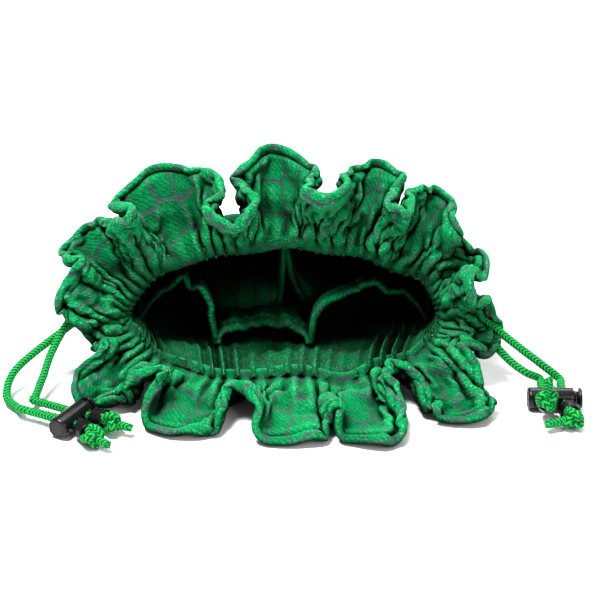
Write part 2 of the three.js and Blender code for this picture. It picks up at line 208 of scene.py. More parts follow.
# ---- mesh helpers ----


def make_object(name, verts, faces, material, uvs=None):
    mesh = bpy.data.meshes.new(name)
    mesh.from_pydata([tuple(v) for v in np.asarray(verts) * MM], [], faces)
    if uvs is not None:
        layer = mesh.uv_layers.new(name="cloth")
        layer.data.foreach_set("uv", np.asarray(uvs, np.float32).ravel())
    mesh.materials.append(material)
    for polygon in mesh.polygons:
        polygon.use_smooth = True
    mesh.update()
    obj = bpy.data.objects.new(name, mesh)
    bpy.context.scene.collection.objects.link(obj)
    return obj


def level_square(name, half, material):
    """A square at the table's height, half mm from its middle to its sides."""
    verts = [(-half, -half, 0), (half, -half, 0), (half, half, 0), (-half, half, 0)]
    return make_object(name, verts, [(0, 1, 2, 3)], material)


def belongs(obj, body, *nodes):
    """obj moves with body and stands for the CAD's nodes."""
    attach(obj, body)
    if nodes:
        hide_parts(*nodes)
    return obj


def grid_faces(columns, rows, wrap):
    """Faces of a grid whose vertex (i, j) has index j * columns + i, and their corners (i, j) for the UVs."""
    faces, corners = [], []
    for j in range(rows - 1):
        for i in range(columns if wrap else columns - 1):
            n = (i + 1) % columns
            faces.append((j * columns + i, j * columns + n, (j + 1) * columns + n, (j + 1) * columns + i))
            corners += [(i, j), (i + 1, j), (i + 1, j + 1), (i, j + 1)]
    return faces, corners


def sheet(name, points, material, u_length, v_length):
    """A closed band of cloth from points[row, column, xyz]; the UVs are metres of flat cloth."""
    rows, columns = points.shape[:2]
    faces, corners = grid_faces(columns, rows, True)
    uvs = [(u_length * MM * i / columns, v_length * MM * j / (rows - 1)) for i, j in corners]
    return make_object(name, points.reshape(-1, 3), faces, material, uvs)


def apply_modifiers(obj):
    bpy.context.view_layer.update()
    graph = bpy.context.evaluated_depsgraph_get()
    mesh = bpy.data.meshes.new_from_object(obj.evaluated_get(graph), depsgraph=graph)
    obj.modifiers.clear()
    obj.data = mesh
    return obj


def smoothed(obj):
    soft = obj.modifiers.new("soft", "SUBSURF")
    soft.levels = soft.render_levels = 1
    return apply_modifiers(obj)


def thicken(obj, thickness, offset):
    solid = obj.modifiers.new("thickness", "SOLIDIFY")
    solid.thickness = thickness * MM
    solid.offset = offset
    solid.use_even_offset = False
    return smoothed(obj)


def cut_away(obj, cutter):
    cut = obj.modifiers.new("cut", "BOOLEAN")
    cut.object, cut.operation, cut.solver = cutter, "DIFFERENCE", "EXACT"
    apply_modifiers(obj)
    bpy.data.objects.remove(cutter)


def tube_frames(path, closed):
    """Unit tangents and rotation-minimising normals along a path."""
    ahead = np.roll(path, -1, 0) - np.roll(path, 1, 0)
    if not closed:
        ahead[0], ahead[-1] = path[1] - path[0], path[-1] - path[-2]
    tangent = unit(ahead)
    normal = np.zeros_like(tangent)
    start = np.array([0, 0, 1.0]) if abs(tangent[0, 2]) < 0.9 else np.array([1.0, 0, 0])
    normal[0] = unit(start - tangent[0] * (start @ tangent[0]))
    for k in range(1, len(path)):
        n = normal[k - 1] - tangent[k] * (normal[k - 1] @ tangent[k])
        normal[k] = unit(n)
    return tangent, normal


def tube(name, path, radius, sides, material, closed=False, relief=None):
    """A tube of radius mm along path, with rounded ends. relief(angle, length) adds to the radius."""
    path = np.asarray(path, float)
    tangent, normal = tube_frames(path, closed)
    side = np.cross(tangent, normal)
    run = run_along(path)
    angle = np.arange(sides) / sides * 2 * np.pi
    r = np.full((len(path), sides), float(radius))
    if relief is not None:
        r = r + relief(angle[None, :], run[:, None])
    centre = path
    if not closed:
        r = np.vstack([r[:1] * 0.35, r[:1] * 0.8, r, r[-1:] * 0.8, r[-1:] * 0.35])
        near = [path[0] - tangent[0] * radius * d for d in (0.75, 0.45)]
        far = [path[-1] + tangent[-1] * radius * d for d in (0.45, 0.75)]
        centre = np.vstack([near, path, far])
        normal, side = (np.vstack([a[:1], a[:1], a, a[-1:], a[-1:]]) for a in (normal, side))
        run = np.concatenate([[-0.6, -0.3], run, [run[-1] + 0.3, run[-1] + 0.6]])
    ring = np.cos(angle)[None, :, None] * normal[:, None, :] + np.sin(angle)[None, :, None] * side[:, None, :]
    verts = (centre[:, None, :] + ring * r[:, :, None]).reshape(-1, 3)
    faces, corners = grid_faces(sides, len(centre) + closed, True)
    if closed:
        faces = [[v % len(verts) for v in face] for face in faces]
        run = np.append(run, run[-1] + run[1])
    uvs = [(i / sides, run[j] * MM) for i, j in corners]
    if not closed:
        last_ring, first, last = len(verts) - sides, len(verts), len(verts) + 1
        tips = [centre[0] - tangent[0] * radius * 0.05, centre[-1] + tangent[-1] * radius * 0.05]
        verts = np.vstack([verts, tips])
        for i in range(sides):
            m = (i + 1) % sides
            faces += [(first, m, i), (last, last_ring + i, last_ring + m)]
            uvs += [(0.5, run[0] * MM), ((i + 1) / sides, run[0] * MM), (i / sides, run[0] * MM)]
            uvs += [(0.5, run[-1] * MM), (i / sides, run[-1] * MM), ((i + 1) / sides, run[-1] * MM)]
    return make_object(name, verts, faces, material, uvs)


def place(obj, matrix):
    """Moves a mesh made in millimetres about its own origin to a place given in millimetres."""
    in_metres = matrix.copy()
    in_metres.translation = matrix.translation * MM
    obj.data.transform(in_metres)
    obj.data.update()
    return obj


def turned(name, profile, material, matrix, sides=64):
    """A turned part about local +Y from (radius, place along the axis) pairs.

    They start and end on the axis, or close on themselves.
    """
    profile = np.asarray(profile, float)
    angle = np.arange(sides) / sides * 2 * np.pi
    radius, along = profile[:, :1], np.repeat(profile[:, 1:], sides, 1)
    verts = np.stack([radius * np.cos(angle), along, radius * np.sin(angle)], -1)
    faces, corners = grid_faces(sides, len(profile), True)
    uvs = [(i / sides, j / (len(profile) - 1)) for i, j in corners]
    obj = make_object(name, verts.reshape(-1, 3), faces, material, uvs)
    clean = bmesh.new()
    clean.from_mesh(obj.data)
    bmesh.ops.remove_doubles(clean, verts=clean.verts, dist=1e-6)
    bmesh.ops.recalc_face_normals(clean, faces=clean.faces)
    clean.to_mesh(obj.data)
    clean.free()
    return place(obj, matrix)


def rounded(corners, radius):
    """The outline through corner points with each inner corner rounded off."""
    corners = np.asarray(corners, float)
    out = [corners[0]]
    for before, corner, after in zip(corners[:-2], corners[1:-1], corners[2:]):
        a, b = before - corner, after - corner
        reach = min(radius, 0.45 * np.linalg.norm(a), 0.45 * np.linalg.norm(b))
        p, q = corner + a / np.linalg.norm(a) * reach, corner + b / np.linalg.norm(b) * reach
        for f in np.linspace(0, 1, 5):
            out.append((1 - f) ** 2 * p + 2 * f * (1 - f) * corner + f**2 * q)
    return np.array(out + [corners[-1]])


def join(name, objects):
    """One mesh object from several, which are removed."""
    whole, materials = bmesh.new(), []
    for obj in objects:
        material = obj.data.materials[0]
        if material not in materials:
            materials.append(material)
        for polygon in obj.data.polygons:
            polygon.material_index = materials.index(material)
            polygon.use_smooth = True
        whole.from_mesh(obj.data)
        bpy.data.objects.remove(obj)
    mesh = bpy.data.meshes.new(name)
    whole.to_mesh(mesh)
    whole.free()
    for material in materials:
        mesh.materials.append(material)
    joined = bpy.data.objects.new(name, mesh)
    bpy.context.scene.collection.objects.link(joined)
    return joined


# ---- materials ----


class Nodes:
    """A short way to write node trees: n.add("NodeType", input=value_or_socket) returns the node."""

    def __init__(self, name):
        self.material = bpy.data.materials.new(name)
        self.material.use_nodes = True
        self.tree = self.material.node_tree
        self.shader = self.tree.nodes["Principled BSDF"]

    def add(self, kind, setup=None, **inputs):
        node = self.tree.nodes.new("ShaderNode" + kind)
        for key, value in (setup or {}).items():
            setattr(node, key, value)
        self.feed(node, **inputs)
        return node

    def feed(self, node, **inputs):
        for key, value in inputs.items():
            numbered = key[0] == "i" and key[1:].isdigit()
            socket = node.inputs[int(key[1:]) if numbered else key.replace("_", " ")]
            if isinstance(value, bpy.types.NodeSocket):
                self.tree.links.new(value, socket)
            else:
                socket.default_value = value

    def math(self, operation, *values):
        inputs = {f"i{k}": value for k, value in enumerate(values)}
        return self.add("Math", {"operation": operation}, **inputs).outputs[0]

    def noise(self, at, scale, detail, roughness=0.5):
        return self.add("TexNoise", Vector=at, Scale=scale, Detail=detail, Roughness=roughness).outputs["Fac"]

    def ramp(self, factor, *stops):
        """A grey ramp from (position, grey) stops."""
        node = self.add("ValToRGB", Fac=factor)
        elements = node.color_ramp.elements
        while len(elements) < len(stops):
            elements.new(0.5)
        for element, (position, grey) in zip(elements, stops):
            element.position = position
            element.color = (grey, grey, grey, 1)
        return node.outputs["Color"]

    def mix(self, factor, a, b):
        node = self.add("Mix", {"data_type": "RGBA"}, i0=factor)
        self.feed(node, i6=a, i7=b)
        return node.outputs[2]

    def tint(self, tone, colour, mask, strength=None):
        """tone turned towards colour by a mask, and by the mask's strength where there is one."""
        factor = mask if strength is None else self.math("MULTIPLY", mask, strength)
        return self.mix(factor, tone, (*colour, 1))

    def bump(self, height, strength, depth):
        return self.add("Bump", Strength=strength, Distance=depth, Height=height).outputs[0]

    def surface(self, tone, roughness, **more):
        self.feed(self.shader, Base_Color=tone, Roughness=roughness, **more)
        return self.material


def plush(name, base, light, dark, line, edge_highlight=0.35):
    """Short-pile plush on a ribbed knit, printed with a net of dark lines round scale-like cells."""
    n = Nodes(name)
    cloth = n.add("UVMap", {"uv_map": "cloth"}).outputs["UV"]
    # the printed net, with wobbly broken lines round cells of slightly different greens
    wobble = n.add("TexNoise", Vector=cloth, Scale=130.0, Detail=2.0, Roughness=0.5).outputs["Color"]
    shift = n.add("VectorMath", {"operation": "MULTIPLY_ADD"}, i0=wobble, i1=(0.004, 0.004, 0), i2=cloth)
    stretched = n.add("Mapping", Vector=shift.outputs[0], Scale=(1.0, 0.82, 1.0)).outputs[0]
    net, spot = (
        n.add("TexVoronoi", {"feature": feature, "voronoi_dimensions": "2D"},
              Vector=stretched, Scale=1 / PRINT_CELL, Randomness=0.72).outputs
        for feature in ("DISTANCE_TO_EDGE", "F1")
    )
    lines = n.ramp(net["Distance"], (0.0, 1.0), (0.035, 0.95), (0.07, 0.0))
    lines = n.math("MULTIPLY", lines, n.ramp(n.noise(cloth, 240.0, 3.0, 0.65), (0.32, 0.4), (0.5, 1.0)))
    tone = n.mix(n.ramp(spot["Distance"], (0.0, 0.0), (0.7, 1.0)), (*base, 1), (*dark, 1))
    tone = n.tint(tone, dark, n.ramp(net["Distance"], (0.0, 1.0), (0.25, 0.0)), 0.35)
    tone = n.tint(tone, light, n.add("SeparateColor", Color=spot["Color"]).outputs[0], 0.22)
    # the ribbed knit and the pile standing on it
    rib = n.add("TexWave", {"wave_type": "BANDS", "bands_direction": "DIAGONAL"}, Vector=cloth, Scale=260.0,
                Distortion=6.0, Detail=2.0, Detail_Scale=3.0).outputs["Fac"]
    pile = n.noise(cloth, 2600.0, 3.0, 0.7)
    tone = n.tint(tone, light, n.ramp(pile, (0.38, 0.0), (0.66, 1.0)), 0.42)
    tone = n.tint(tone, dark, n.ramp(rib, (0.25, 1.0), (0.6, 0.0)), 0.42)
    tone = n.tint(tone, line, lines)
    # painted highlight on raised edges, and painted shade in the hollows between them
    ridge = n.add("NewGeometry").outputs["Pointiness"]
    edge = n.ramp(ridge, (0.505, 0.0), (0.60, 1.0))
    tone = n.tint(tone, light, edge, edge_highlight)
    tone = n.tint(tone, dark, n.ramp(ridge, (0.40, 1.0), (0.485, 0.0)), 0.55)
    # painted sheen where the pile is seen from the side, and painted glints of single tufts on the ridges
    rim = n.ramp(n.add("LayerWeight", Blend=0.5).outputs["Facing"], (0.3, 0.0), (0.95, 1.0))
    tone = n.tint(tone, light, rim, 0.35)
    tufts = n.ramp(n.noise(cloth, 1500.0, 2.0, 0.8), (0.57, 0.0), (0.67, 1.0))
    glint = n.math("MAXIMUM", n.math("MULTIPLY", edge, 0.9), n.math("MULTIPLY", rim, 0.45))
    tone = n.tint(tone, GLINT, tufts, n.math("ADD", 0.03, glint))
    # deep folds are darker than soft light alone makes them
    hollow = n.add("AmbientOcclusion", {"samples": 8}, Distance=0.045).outputs["AO"]
    tone = n.tint(tone, [c * 0.1 for c in dark], n.ramp(hollow, (0.3, 1.0), (0.92, 0.0)))
    height = n.math("ADD", n.math("MULTIPLY", pile, 0.55), n.math("MULTIPLY", rib, 0.6))
    height = n.math("ADD", height, n.math("MULTIPLY", n.noise(cloth, 900.0, 4.0, 0.75), 0.5))
    height = n.math("SUBTRACT", height, n.math("MULTIPLY", lines, 0.35))
    return n.surface(tone, 0.9, Specular_IOR_Level=0.03, Normal=n.bump(height, 0.8, 0.0007))


def braided(name, base, light, dark):
    """Braided cord: slanted strands that meet in chevrons, with painted shade where they dive under each
    other and a painted highlight on their crests.
    """
    n = Nodes(name)
    at = n.add("SeparateXYZ", Vector=n.add("UVMap", {"uv_map": "cloth"}).outputs["UV"]).outputs
    across = n.math("PINGPONG", n.math("MULTIPLY", at[0], float(BRAID_COLUMNS)), 1.0)
    across = n.math("SUBTRACT", 1.0, across)
    turns = n.math("DIVIDE", at[1], BRAID_PITCH * MM)
    turns = n.math("SUBTRACT", turns, n.math("MULTIPLY", across, BRAID_SLANT))
    strand = n.math("MULTIPLY_ADD", n.math("COSINE", n.math("MULTIPLY", turns, 2 * math.pi)), 0.5, 0.5)
    near_side, far_side = n.ramp(across, (0.0, 1.0), (0.16, 0.0)), n.ramp(across, (0.86, 0.0), (1.0, 1.0))
    valley = n.math("MULTIPLY", n.math("MAXIMUM", near_side, far_side), 0.8)
    gap = n.math("MAXIMUM", n.ramp(strand, (0.05, 1.0), (0.42, 0.0)), valley)
    along_strand, over_strand = n.math("MULTIPLY", turns, 5.0), n.math("MULTIPLY", across, 22.0)
    drawn_out = n.add("CombineXYZ", i0=along_strand, i1=over_strand, i2=0.0)
    fibre = n.noise(drawn_out.outputs[0], 1.0, 3.0, 0.6)
    # painted shade in the gaps and grooves, painted highlight on the strands' crests
    tone = n.tint((*base, 1), dark, gap, 0.85)
    crest = n.ramp(strand, (0.6, 0.0), (1.0, 1.0))
    tone = n.tint(tone, light, crest, n.math("MULTIPLY", fibre, 0.9))
    # painted shade in the braid's hollows
    hollow = n.add("AmbientOcclusion", {"samples": 4}, Distance=0.004).outputs["AO"]
    tone = n.tint(tone, dark, n.ramp(hollow, (0.1, 0.85), (0.7, 0.0)))
    height = n.math("SUBTRACT", n.math("MULTIPLY", fibre, 0.4), gap)
    return n.surface(tone, 0.6, Specular_IOR_Level=0.08, Normal=n.bump(height, 0.6, 0.0003))


def moulded(name, base, roughness, mottle):
    """Black moulded plastic with faint flow marks and fine handling scratches."""
    n = Nodes(name)
    at = n.add("TexCoord").outputs["Object"]
    scratch_map = n.add("Mapping", Vector=at, Scale=(4000.0, 300.0, 900.0), Rotation=(0.4, 0.2, 0.7))
    scratch = n.noise(scratch_map.outputs[0], 1.0, 4.0, 0.7)
    flow = n.ramp(n.noise(at, 350.0, 3.0), (0.4, 0.0), (0.7, 0.5))
    tone = n.tint((*base, 1), [min(1, c + mottle) for c in base], flow)
    rough = n.math("ADD", roughness, n.math("MULTIPLY", scratch, 0.16))
    return n.surface(tone, rough, Specular_IOR_Level=0.25, Normal=n.bump(scratch, 0.05, 0.0001))


def wire(name):
    """Bright spring wire with a fine grain."""
    n = Nodes(name)
    grain = n.noise(n.add("TexCoord").outputs["Object"], 3000.0, 3.0)
    tone = n.mix(grain, (0.5, 0.51, 0.53, 1), (0.8, 0.8, 0.82, 1))
    return n.surface(tone, n.math("ADD", 0.2, n.math("MULTIPLY", grain, 0.2)), Metallic=1.0)


GLINT = (0.55, 0.88, 0.60)
SHADE = (0.0001, 0.022, 0.006)
PLUSH = plush("plush", (0.0003, 0.125, 0.032), (0.002, 0.40, 0.115), SHADE, (0.035, 0.045, 0.055))
# the lining: a darker copy of the plush, painted shade for the bag's shadowed inside
SHADED_LINING = plush(
    "shaded_lining_plush", (0.0003, 0.08, 0.022), (0.002, 0.26, 0.08), (0.0001, 0.015, 0.004), (0.016, 0.02, 0.024)
)
# the ruffle's and pockets' plush: a lighter copy of the plush, with a stronger painted highlight on raised
# edges
LIT_HEM_CLOTH = plush("lit_hem_plush", (0.0003, 0.14, 0.036), (0.004, 0.48, 0.145), SHADE, (0.045, 0.055, 0.07), 0.6)
CORD = braided("braided_cord", (0.0005, 0.22, 0.03), (0.03, 0.62, 0.14), (0.0001, 0.02, 0.003))
BLACK = moulded("black_plastic", (0.002, 0.002, 0.0023), 0.2, 0.004)
BLACK_MATT = moulded("black_plastic_end", (0.014, 0.014, 0.015), 0.5, 0.01)
STEEL = wire("spring_wire")


# ---- the wall's surface ----


def section(t):
    """The wall's section at share t from base to neck: middle y, half width, half height and tilt."""
    last = len(SECTIONS) - 1
    at = np.clip(t, 0, 1) * last
    k = np.minimum(at.astype(int), last - 1)
    f = (at - k)[..., None]
    p0, p1, p2, p3 = (SECTIONS[np.clip(k + n, 0, last)] for n in (-1, 0, 1, 2))
    y, a, b, tilt = np.moveaxis(smooth_curve(p0, p1, p2, p3, f), -1, 0)
    return y, a, b, np.radians(tilt)


def wall_middle(t, phi):
    """The surface half way through the wall, at share t from base to neck and angle phi."""
    t, phi = np.broadcast_arrays(np.asarray(t, float), np.asarray(phi, float))
    y, a, b, tilt = section(t)
    rise = b * np.maximum(np.sin(phi), -BAG_FLAT)
    lift = CLOTH + smooth(t, CHANNEL_FROM, 0.8) * 2.0
    height = lift + np.cos(tilt) * (b * BAG_FLAT + rise)
    return np.stack([a * np.cos(phi), y + rise * np.sin(tilt), height], -1)


def wall_out(t, phi):
    """Unit directions out of the cloth."""
    step = 0.02
    turn = wall_middle(t, phi + step) - wall_middle(t, phi - step)
    along = wall_middle(np.minimum(t + step, 1), phi) - wall_middle(np.maximum(t - step, 0), phi)
    return unit(np.cross(turn, along))


def pleat(phi):
    """Height of the gathers, -1 to 1, unevenly spaced, with rounded crests and pinched valleys."""
    phase = PLEATS * phi + 2.4 * wander(phi, 11, 12, 3)
    sharp = 0.35
    wave = np.cos(phase) * (1 - sharp) + sharp * (2 * np.abs(np.cos(phase / 2)) - 1)
    return wave * (0.8 + 0.45 * wander(phi, 12, 8, 5))


def neck_wander(phi):
    """How far the gathered neck strays outwards from its oval."""
    return 1.7 * wander(phi, 23, 8, 7)


def gathered(t):
    """How strongly the wall is gathered at share t, from 0 well below the neck to 1 at it."""
    return smooth(t, 0.45, 0.93)


def wall_surface(t, phi, offset):
    """Wall points at an offset from the middle surface, with gathers, slack and wrinkles."""
    gather = gathered(t)
    slack = np.sin(np.pi * np.clip(t, 0, 1)) * (1 - 0.6 * gather)
    ripple = 1.5 * wander(phi + 1.6 * t, 21, 9, 2) * slack
    ripple = ripple + 0.9 * wander(phi - 3.1 * t + 1, 22, 10, 7) * slack
    folds = (1.5 * pleat(phi) + neck_wander(phi)) * gather
    return wall_middle(t, phi) + wall_out(t, phi) * (offset + ripple + folds)[..., None]


def rest_on_table(points, low=0.15, soft=2.0):
    """Presses what would sink into the table flat against it."""
    z = points[..., 2]
    points[..., 2] = np.where(z < low + soft, low + soft * np.exp((z - low - soft) / soft), z)
    return points


# ---- the ruffle ----

RUFFLE_COLUMNS = 640
# the ruffle's rows, as distances from the hem: closest at the hem's roll and stitching, beyond 38 in the neck
FROM_HEM = np.array(
    [47.5, 45.5, 43.5, 41.8, 40.2, 38.8, 37.4, 36, 34.5, 33, 31.5, 30, 28, 26, 24, 22, 20, 18, 16, 14,
     12.2, 10.6, 9.2, 8, 7, 6.1, 5.3, 4.6, 4.0, 3.5, 3.1, 2.8, 2.5, 2.2, 1.9, 1.5, 1.0, 0.5, 0.0]
)
# the rows of the coarser cloth that settles
SETTLE_ROWS = np.array([38, 35, 32, 29, 26, 23, 20, 17, 14, 11, 8, 5, 2.5, 0.0])
HELD_FROM = 33  # rows further from the hem than this are held in place while the cloth settles
SETTLE_FRAMES = 12
SETTLE_SCALE = 10.0  # the solver keeps closer to its collision distances on a larger model
HEM_STITCH = 2.5  # the hem's stitching line, mm from the edge
HEM_LOW = 2.0  # the hem starts out at least this high above the table, before it settles
RUFFLE_ROWS = 1 - FROM_HEM / COLLAR_LENGTH  # share of the way from gathers to hem; less than 0 is in the neck


def mouth_axes(phi):
    """Neck point at angle phi, and unit directions out of the mouth's rim, forward and round it."""
    _, a, b, tilt = section(np.ones_like(phi))
    zero = np.zeros_like(phi)
    across = np.stack([zero, np.sin(tilt), np.cos(tilt)], -1)
    forward = np.stack([zero, -np.cos(tilt), np.sin(tilt)], -1)
    outward = unit(np.stack([b * np.cos(phi), zero, zero], -1) + across * (a * np.sin(phi))[..., None])
    return wall_middle(1.0, phi), outward, forward, np.cross(forward, outward)


def turning_points():
    """The hem's turning points (angle, flare, reach): two shoulders for each lobe and the tuck after it."""
    middle, half, flare, reach, tuck_flare, tuck_reach = LOBES.T
    after = np.append(middle[1:], middle[0] - 360)
    tuck = (middle - half + after + np.roll(half, -1)) / 2
    first = np.stack([middle + SHOULDER * half, flare, reach], -1)
    second = np.stack([middle - SHOULDER * half, flare, reach], -1)
    turn = np.stack([tuck, tuck_flare, tuck_reach], -1)
    return np.stack([first, second, turn], 1).reshape(-1, 3)


def hem_curve():
    """Fine points (x, y, z, angle) along the hem, rounded between turning points into narrow-necked folds."""
    angle, flare, reach = turning_points().T
    angle, flare = np.radians(angle), np.radians(flare)
    neck, outward, forward, _ = mouth_axes(angle)
    spoke = outward * np.cos(flare)[:, None] + forward * np.sin(flare)[:, None]
    point = np.column_stack([neck + spoke * reach[:, None], angle])
    round_trip = np.array([0, 0, 0, 2 * np.pi])
    p = np.vstack([point[-1:] + round_trip, point, point[:2] - round_trip])
    f = np.linspace(0, 1, 20, endpoint=False)[:, None]
    fine = []
    for a, b, c, d in zip(p[:-3], p[1:-2], p[2:-1], p[3:]):
        piece = smooth_curve(a, b, c, d, f)
        piece[:, 3] = b[3] + (c[3] - b[3]) * f[:, 0]
        overhang = OVERHANG * max(np.linalg.norm(c[:3] - b[:3]) - DEEP_FOLD, 0)
        piece[:, :3] -= mouth_axes(piece[:, 3])[3] * overhang * np.sin(2 * np.pi * f)
        fine.append(piece)
    return np.vstack(fine + [point[:1] - round_trip])


def spread(edge, phi, neck, outward, forward):
    """The ruffle's rows from the gathered neck to the hem, leaving the neck in the channel's direction."""
    flare = np.radians(48 - 12 * np.maximum(0, np.sin(phi)))[:, None]
    along = outward * np.cos(flare) + forward * np.sin(flare)
    stand = forward * np.cos(flare) - outward * np.sin(flare)
    lead = np.maximum(np.linalg.norm(edge - neck, axis=1), 0.85 * COLLAR_LENGTH)[:, None]
    arrive = unit(edge - neck) * lead * 0.9 + along * lead * 0.1
    share = RUFFLE_ROWS[:, None]
    points = between(neck, along * lead, edge, arrive, np.clip(share, 0, 1)[:, :, None])
    in_neck = wall_middle(1 + share * COLLAR_LENGTH / WALL_LENGTH, phi)
    points = np.where(share[..., None] < 0, in_neck, points)
    points = points + outward * (neck_wander(phi) * (1 - smooth(share, 0.0, 0.6)))[..., None]
    for _ in range(4):
        points[2:14] = 0.5 * points[2:14] + 0.25 * (points[1:13] + points[3:15])
    return points, stand


def ruffle_middle():
    """The ruffle's middle surface [row, column] from the gathers to the hem, and the hem's length."""
    hem, length = evenly(hem_curve(), RUFFLE_COLUMNS)
    edge, phi = hem[:, :3], hem[:, 3]
    neck, outward, forward, _ = mouth_axes(phi)
    place = np.arange(RUFFLE_COLUMNS) / RUFFLE_COLUMNS * 2 * np.pi
    edge = edge + forward * (2.2 * wander(place, 46, 18, 7))[:, None]
    edge = edge + outward * (1.2 * wander(place, 47, 26, 14))[:, None]
    edge[:, 2] = np.maximum(edge[:, 2], HEM_LOW)
    points, stand = spread(edge, phi, neck, outward, forward)
    share = RUFFLE_ROWS[:, None]
    reach_out = 0.72 + 0.22 * wander(place, 43, 12, 12)
    fade = 1 - smooth(share / reach_out, 0.1, 1.0)
    gathers = pleat(phi) * (1.5 + 0.9 * smooth(share, 0.02, 0.22)) * fade * smooth(share, -0.16, 0.1)
    points = points + stand * gathers[..., None]
    drift = place + 0.10 * np.sin(3 * share + 2 * wander(place, 44, 6, 3)) * share
    crease = 1.5 * folded(drift, 45, 38) * smooth(share, 0.05, 0.35) * (1 - 0.75 * smooth(share, 0.72, 1.0))
    coarse = 0.8 * wander(place + 0.4 * share, 41, 14, 24) * smooth(share, 0.15, 0.6)
    fine = 0.8 * wander(place - 0.9 * share, 42, 12, 60) * smooth(share, 0.1, 0.4)
    fine = fine * (1 - smooth(share, 0.7, 1))
    return points + surface_normals(points) * (0.45 * (coarse + fine + crease))[..., None], length


def folded(angle, seed, count):
    """Uneven creases round a circle: sharp-edged ups and downs of different widths, about -1 to 1."""
    r = np.random.default_rng(seed)
    total = np.zeros_like(angle)
    for _ in range(count):
        centre, width, height = r.uniform(0, 2 * np.pi), r.uniform(0.02, 0.055), r.normal()
        away = np.abs((angle - centre + np.pi) % (2 * np.pi) - np.pi) / width
        total = total + height * np.exp(-(away**1.6))
    return total


def surface_normals(points):
    turn = np.roll(points, -1, 1) - np.roll(points, 1, 1)
    return unit(np.cross(turn, np.gradient(points, axis=0)))


def hem_profile(from_hem):
    """Half thickness of a double cloth near its turned and topstitched hem."""
    half = 1.1 + 0.5 * ridge_at(from_hem, 0.7, 1.1) + 0.5 * ridge_at(from_hem, HEM_STITCH + 1.5, 1.0)
    return half - 0.7 * ridge_at(from_hem, HEM_STITCH, 0.45)


def cloth_loop(middle, half, normal):
    """Both faces of a cloth joined round its hem: rows down the inside, round the rim and up the outside."""
    tip = unit(middle[-1] - middle[-2])
    rim = [
        middle[-1] + normal[-1] * (half[-1] * math.sin(a))[:, None] + tip * (half[-1] * math.cos(a))[:, None]
        for a in np.radians([60, 30, 0, -30, -60])
    ]
    half = normal * half[..., None]
    return np.concatenate([middle + half, np.stack(rim), (middle - half)[::-1]])


def cloth_piece(name, middle, normal, from_hem, thin, wrap, length, print_from):
    """A hemmed cloth piece from its middle surface, thinner by thin. The UVs are metres of cloth."""
    place = np.arange(middle.shape[1])
    stitch = 0.12 * np.cos(place / len(place) * 2 * np.pi * round(length / 3.2))
    near = ridge_at(from_hem, HEM_STITCH, 1.0)
    half = hem_profile(from_hem)[:, None] + stitch * near[:, None] - thin[:, None]
    loop = rest_on_table(cloth_loop(middle, half, normal), 0.1, 0.8)
    run = np.concatenate([-from_hem, [0.4, 0.8, 1.2, 1.6, 2.0], 2.4 + from_hem[::-1]])
    rows, columns = loop.shape[:2]
    faces, corners = grid_faces(columns, rows, wrap)
    uvs = [(length * MM * i / columns, (run[j] + print_from) * MM) for i, j in corners]
    return smoothed(make_object(name, loop.reshape(-1, 3), faces, LIT_HEM_CLOTH, uvs))


def cloth_settings(modifier):
    """Heavy soft plush, cut 3 per cent too long so that it buckles."""
    settings = modifier.settings
    settings.quality = 5
    settings.mass = 0.4
    settings.tension_stiffness = settings.compression_stiffness = 25
    settings.shear_stiffness = 8
    settings.bending_stiffness = 120
    settings.tension_damping = settings.compression_damping = 10
    settings.bending_damping = 2
    settings.vertex_group_mass = "pins"
    settings.pin_stiffness = 1.0
    settings.shrink_min = -0.03
    contact = modifier.collision_settings
    contact.distance_min = 0.012
    contact.collision_quality = 2
    contact.use_self_collision = True
    contact.self_distance_min = 0.016


def drape(points, pins):
    """Lets a closed band of cloth settle under its weight. pins holds each row, from 0 to 1 firmly."""
    rows, columns = points.shape[:2]
    faces, _ = grid_faces(columns, rows, True)
    cloth = make_object("drape", points.reshape(-1, 3) * SETTLE_SCALE, faces, PLUSH)
    group = cloth.vertex_groups.new(name="pins")
    for j, weight in enumerate(pins):
        group.add(list(range(j * columns, (j + 1) * columns)), float(weight), "REPLACE")
    table = level_square("drape_table", 4000, PLUSH)
    table.modifiers.new("collision", "COLLISION")
    table.collision.thickness_outer = 0.012
    modifier = cloth.modifiers.new("cloth", "CLOTH")
    cloth_settings(modifier)
    modifier.point_cache.frame_end = SETTLE_FRAMES
    scene = bpy.context.scene
    for frame_number in range(1, SETTLE_FRAMES + 1):
        scene.frame_set(frame_number)
    settled = cloth.evaluated_get(bpy.context.evaluated_depsgraph_get())
    flat = np.empty(rows * columns * 3, np.float32)
    settled.data.vertices.foreach_get("co", flat)
    scene.frame_set(1)
    for obj in (cloth, table):
        bpy.data.objects.remove(obj)
    return flat.astype(float).reshape(rows, columns, 3) / (SETTLE_SCALE * MM)


def resample_rows(points, at, wanted):
    """Rows of a surface at new distances, along a smooth curve through its rows. Both lists run downwards."""
    slope = np.gradient(points, at, axis=0)
    k = np.clip(np.searchsorted(-at, -wanted, side="right") - 1, 0, len(at) - 2)
    span = (at[k + 1] - at[k])[:, None, None]
    f = (wanted - at[k])[:, None, None] / span
    return between(points[k], slope[k] * span, points[k + 1], slope[k + 1] * span, f)


